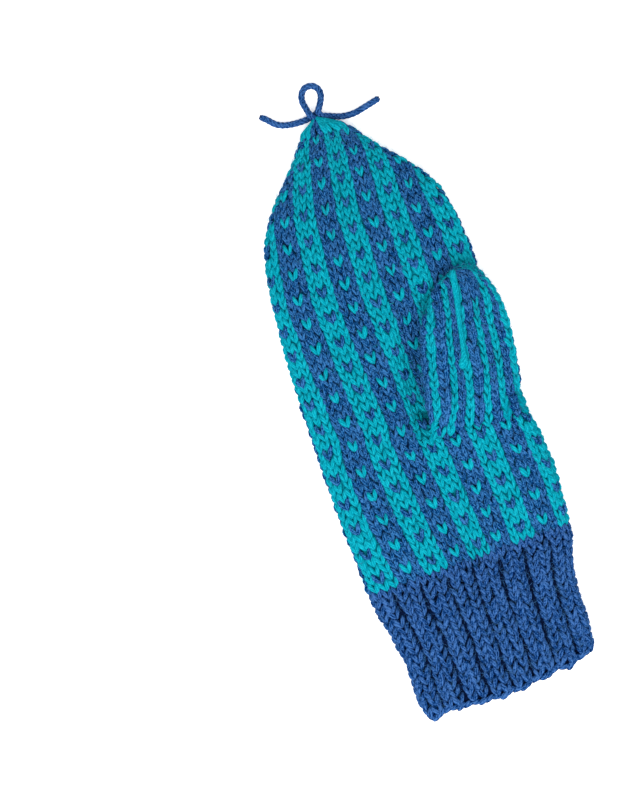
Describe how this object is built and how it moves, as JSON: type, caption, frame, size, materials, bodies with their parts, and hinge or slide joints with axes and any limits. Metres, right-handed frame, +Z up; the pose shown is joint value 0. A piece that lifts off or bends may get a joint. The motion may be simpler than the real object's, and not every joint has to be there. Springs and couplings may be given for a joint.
{
  "type": "wool mitten",
  "caption": "Hand-knitted striped wool mitten with a ribbed cuff, a separate thumb lying on the palm and a bit of yarn tied at its tip.",
  "frame": {"origin": "on the surface that the mitten lies on, under the middle of its length from the cast-on edge to its tip", "axes": "+X across the palm towards the thumb's side, +Y from the cast-on edge to the tip, +Z up from the surface, out of the palm"},
  "size_m": [0.0989, 0.2824, 0.0256],
  "materials": {
    "blue_wool": "matt hand-knitted wool",
    "striped_wool": "matt hand-knitted wool"
  },
  "bodies": {
    "root": {"ribbed_cuff": "blue_wool", "hand": "striped_wool", "thumb": "striped_wool", "tie_loop": "blue_wool", "tie_tail": "blue_wool"}
  },
  "joints": []
}
